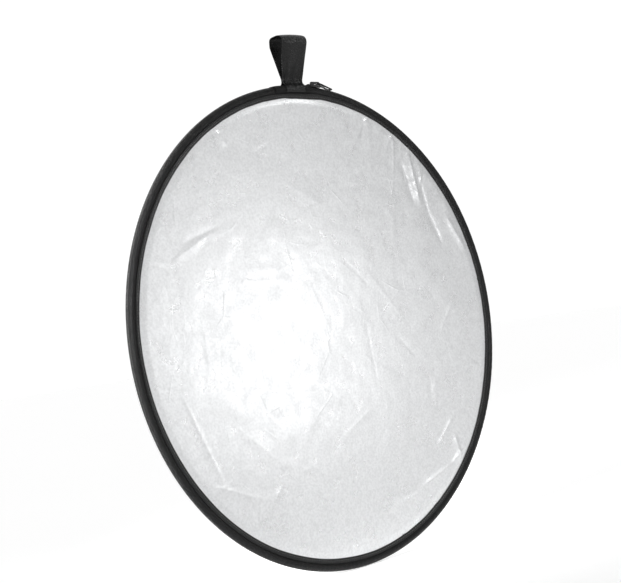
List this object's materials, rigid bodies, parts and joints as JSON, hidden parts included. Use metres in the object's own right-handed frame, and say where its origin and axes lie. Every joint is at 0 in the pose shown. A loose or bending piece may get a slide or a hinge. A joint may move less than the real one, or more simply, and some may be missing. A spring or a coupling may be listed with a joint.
{
  "type": "collapsible reflector disc",
  "caption": "Round zip-covered fabric reflector disc on a sprung hoop, silver on the front, with a black rim, a zip slider and a hanging loop.",
  "frame": {"origin": "centre of the disc, in the middle of its thickness", "axes": "-Y is the way the silver face looks, +Z runs from the centre to the hanging loop, +X is to the right seen from the front"},
  "size_m": [0.56, 0.025, 0.622],
  "materials": {
    "spring_steel": "oiled spring steel band",
    "ferrule_steel": "crimped steel",
    "shrink_tube": "matte heat-shrink",
    "diffuser_cloth": "thin translucent white ripstop",
    "diffuser_binding": "plain woven tape",
    "silver_cloth": "metallised satin cloth",
    "gold_cloth": "metallised gold cloth",
    "white_cloth": "plain white polyester",
    "black_cloth": "matte black polyester",
    "hem_tape": "fine black woven tape",
    "rim_binding": "black woven binding with a soft sheen",
    "thread": "spun polyester thread",
    "white_thread": "spun polyester thread",
    "zip_tape": "twill zip tape",
    "zip_coil": "nylon coil",
    "zip_metal": "black lacquered zinc, worn at the edges",
    "ribbon": "black satin ribbon"
  },
  "bodies": {
    "disc": {"spring_hoop": "spring_steel", "hoop_ferrule": "ferrule_steel", "hoop_shrink_tube": "shrink_tube", "diffuser_fabric": "diffuser_cloth", "diffuser_sleeve": "diffuser_binding", "diffuser_stitching": "white_thread", "front_panel": "silver_cloth", "front_lining": "gold_cloth", "back_panel": "white_cloth", "back_lining": "black_cloth", "front_hem": "hem_tape", "back_hem": "hem_tape", "front_binding": "rim_binding", "back_binding": "rim_binding", "front_stitching": "thread", "back_stitching": "thread", "zip_tape_front": "zip_tape", "zip_tape_back": "zip_tape", "zip_coil_front": "zip_coil", "zip_coil_back": "zip_coil", "zip_top_stop": "zip_metal", "zip_bottom_stop": "zip_metal", "strap_patch": "hem_tape", "strap_tails": "ribbon"},
    "slider": {"slider_body": "zip_metal"},
    "pull": {"pull_tab": "zip_metal"},
    "strap": {"strap_loop": "ribbon", "strap_bartack": "thread"}
  },
  "joints": [
    {"name": "zip_travel", "type": "hinge", "parent": "disc", "child": "slider", "pos_m": [0, 0, 0], "axis": [0, 1, 0], "range_deg": [0, 336]},
    {"name": "pull_swing", "type": "hinge", "parent": "slider", "child": "pull", "pos_m": [0.03891, 0, 0.28257], "axis": [0, -1, 0], "range_deg": [0, 120]},
    {"name": "strap_flop", "type": "hinge", "parent": "disc", "child": "strap", "pos_m": [0, 0, 0.28345], "axis": [1, 0, 0], "range_deg": [-90, 90], "stiffness_Nm_per_rad": 0.02}
  ]
}
